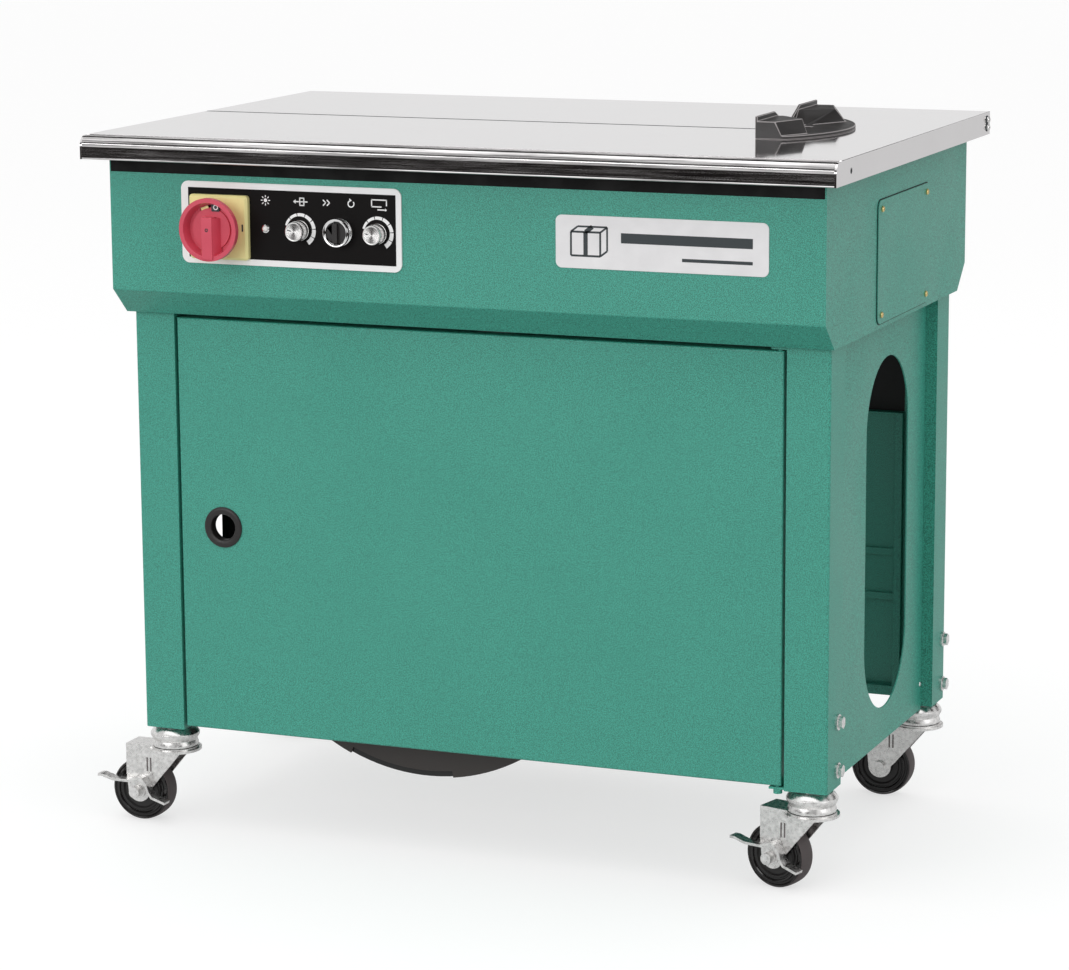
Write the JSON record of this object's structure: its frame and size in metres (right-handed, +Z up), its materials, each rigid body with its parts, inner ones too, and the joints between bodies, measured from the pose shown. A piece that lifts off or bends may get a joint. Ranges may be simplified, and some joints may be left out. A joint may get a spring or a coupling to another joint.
{
  "type": "semi-automatic strapping machine",
  "caption": "Table-top strapping machine on casters: steel table with a strap slit and guide, control panel, sealing head, and a cabinet that holds the strap reel.",
  "frame": {"origin": "on the floor, under the middle of the bounding box", "axes": "+Z up, -Y towards the operator (control panel and door side), +X to the operator's right (strap guide end)"},
  "size_m": [0.937, 0.6146, 0.85],
  "materials": {
    "green_paint": "fine powder coat, satin",
    "table_steel": "polished stainless sheet",
    "zinc": "bright zinc plate",
    "black_plastic": "moulded, fine grain",
    "seal_foam": "closed-cell foam",
    "brass": "passivated",
    "panel_white": "printed label plate, white border and black field",
    "name_white": null,
    "yellow_plastic": "moulded, satin",
    "red_plastic": "moulded, satin",
    "lamp": "clear lens in a bright ring",
    "knob_metal": "spun and polished",
    "bezel_chrome": "polished",
    "reel_board": "pressed board, dark brown",
    "reel_black": "moulded",
    "iron_grey": "machine enamel",
    "bright_steel": "ground",
    "roller_rubber": "moulded",
    "caster_rubber": "moulded rubber tyre on a plastic hub",
    "black_sheet": "matt black enamel"
  },
  "bodies": {
    "root": {"table_top": "table_steel", "table_front_edge": "table_steel", "table_screws": "zinc", "strap_guide": "black_plastic", "front_shell": "green_paint", "rear_shell": "green_paint", "left_end_plate": "green_paint", "right_end_plate": "green_paint", "machine_deck": "iron_grey", "seal_strip": "seal_foam", "side_cover": "green_paint", "cover_screws": "brass", "control_plate": "panel_white", "switch_plate": "yellow_plastic", "pilot_lamp": "lamp", "selector_bezel": "bezel_chrome", "name_plate": "name_white", "front_left_leg": "green_paint", "front_right_leg": "green_paint", "rear_left_leg": "green_paint", "rear_right_leg": "green_paint", "leg_bolts": "zinc", "door_hinges": "green_paint", "left_side_panel": "green_paint", "right_side_panel": "green_paint", "rear_panel": "green_paint", "rear_upper_cover": "black_sheet", "reel_bracket": "iron_grey", "head_frame": "iron_grey", "head_motor": "iron_grey", "strap_chute": "zinc", "transformer": "iron_grey", "control_box": "zinc", "cable_gland": "black_plastic", "caster_raceways": "zinc"},
    "switch": {"switch_handle": "red_plastic"},
    "tension": {"tension_knob": "knob_metal"},
    "length": {"length_knob": "knob_metal"},
    "selector": {"selector_knob": "black_plastic"},
    "door": {"front_door": "green_paint", "door_grommet": "black_plastic"},
    "reel": {"reel_front_disc": "reel_board", "reel_rear_disc": "reel_board", "reel_hub": "reel_black"},
    "brake": {"brake_arm": "black_sheet"},
    "camshaft": {"camshaft": "bright_steel"},
    "press": {"press_block": "bright_steel"},
    "blade": {"heater_blade": "brass"},
    "feed": {"feed_roller": "bright_steel"},
    "pinch": {"pinch_roller": "roller_rubber"},
    "front_left_fork": {"front_left_fork": "zinc"},
    "front_left_wheel": {"front_left_wheel": "caster_rubber"},
    "front_right_fork": {"front_right_fork": "zinc"},
    "front_right_wheel": {"front_right_wheel": "caster_rubber"},
    "rear_left_fork": {"rear_left_fork": "zinc"},
    "rear_left_wheel": {"rear_left_wheel": "caster_rubber"},
    "rear_right_fork": {"rear_right_fork": "zinc"},
    "rear_right_wheel": {"rear_right_wheel": "caster_rubber"},
    "front_left_pedal": {"front_left_pedal": "zinc"},
    "front_right_pedal": {"front_right_pedal": "zinc"}
  },
  "joints": [
    {"name": "switch_turn", "type": "hinge", "parent": "root", "child": "switch", "pos_m": [-0.268, -0.2887, 0.7245], "axis": [0, 1, 0], "range_deg": [0, 90]},
    {"name": "tension_turn", "type": "hinge", "parent": "root", "child": "tension", "pos_m": [-0.169, -0.2787, 0.7245], "axis": [0, 1, 0], "range_deg": [-135, 135]},
    {"name": "length_turn", "type": "hinge", "parent": "root", "child": "length", "pos_m": [-0.0739, -0.2787, 0.7245], "axis": [0, 1, 0], "range_deg": [-135, 135]},
    {"name": "selector_turn", "type": "hinge", "parent": "root", "child": "selector", "pos_m": [-0.12, -0.2787, 0.7245], "axis": [0, 1, 0], "range_deg": [-45, 45], "stiffness_Nm_per_rad": 0.08},
    {"name": "door_swing", "type": "hinge", "parent": "root", "child": "door", "pos_m": [0.38, -0.2227, 0.368], "axis": [0, 0, 1], "range_deg": [0, 105]},
    {"name": "reel_spin", "type": "hinge", "parent": "root", "child": "reel", "pos_m": [-0.0785, -0.0452, 0.309], "axis": [0, 1, 0], "continuous": true},
    {"name": "brake_swing", "type": "hinge", "parent": "root", "child": "brake", "pos_m": [-0.3275, -0.1452, 0.585], "axis": [0, 1, 0], "range_deg": [0, 8]},
    {"name": "cam_turn", "type": "hinge", "parent": "root", "child": "camshaft", "pos_m": [0.3175, 0.0148, 0.668], "axis": [0, 1, 0], "continuous": true},
    {"name": "press_lift", "type": "slide", "parent": "root", "child": "press", "axis": [0, 0, 1], "range_m": [0, 0.005]},
    {"name": "blade_slide", "type": "slide", "parent": "root", "child": "blade", "axis": [-1, 0, 0], "range_m": [0, 0.02]},
    {"name": "feed_spin", "type": "hinge", "parent": "root", "child": "feed", "pos_m": [0.1955, 0.0148, 0.7], "axis": [0, 1, 0], "continuous": true},
    {"name": "pinch_spin", "type": "hinge", "parent": "root", "child": "pinch", "pos_m": [0.1955, 0.0148, 0.7443], "axis": [0, 1, 0], "continuous": true},
    {"name": "front_left_swivel", "type": "hinge", "parent": "root", "child": "front_left_fork", "pos_m": [-0.3785, -0.2027, 0.09], "axis": [0, 0, 1], "continuous": true},
    {"name": "front_left_roll", "type": "hinge", "parent": "front_left_fork", "child": "front_left_wheel", "pos_m": [-0.4205, -0.2027, 0.0375], "axis": [0, 1, 0], "continuous": true},
    {"name": "front_right_swivel", "type": "hinge", "parent": "root", "child": "front_right_fork", "pos_m": [0.4135, -0.2027, 0.09], "axis": [0, 0, 1], "continuous": true},
    {"name": "front_right_roll", "type": "hinge", "parent": "front_right_fork", "child": "front_right_wheel", "pos_m": [0.37293, -0.19183, 0.0375], "axis": [0.2588, 0.9659, 0], "continuous": true},
    {"name": "rear_left_swivel", "type": "hinge", "parent": "root", "child": "rear_left_fork", "pos_m": [-0.3785, 0.2123, 0.09], "axis": [0, 0, 1], "continuous": true},
    {"name": "rear_left_roll", "type": "hinge", "parent": "rear_left_fork", "child": "rear_left_wheel", "pos_m": [-0.4205, 0.2123, 0.0375], "axis": [0, 1, 0], "continuous": true},
    {"name": "rear_right_swivel", "type": "hinge", "parent": "root", "child": "rear_right_fork", "pos_m": [0.4135, 0.2123, 0.09], "axis": [0, 0, 1], "continuous": true},
    {"name": "rear_right_roll", "type": "hinge", "parent": "rear_right_fork", "child": "rear_right_wheel", "pos_m": [0.3715, 0.2123, 0.0375], "axis": [0, 1, 0], "continuous": true},
    {"name": "front_left_brake", "type": "hinge", "parent": "front_left_fork", "child": "front_left_pedal", "pos_m": [-0.4205, -0.2027, 0.0375], "axis": [0, -1, 0], "range_deg": [0, 20]},
    {"name": "front_right_brake", "type": "hinge", "parent": "front_right_fork", "child": "front_right_pedal", "pos_m": [0.37293, -0.19183, 0.0375], "axis": [-0.2588, -0.9659, 0], "range_deg": [0, 20]}
  ],
  "couplings": [
    {"joint": "pinch_spin", "follows": "feed_spin", "ratio": -1.2}
  ]
}
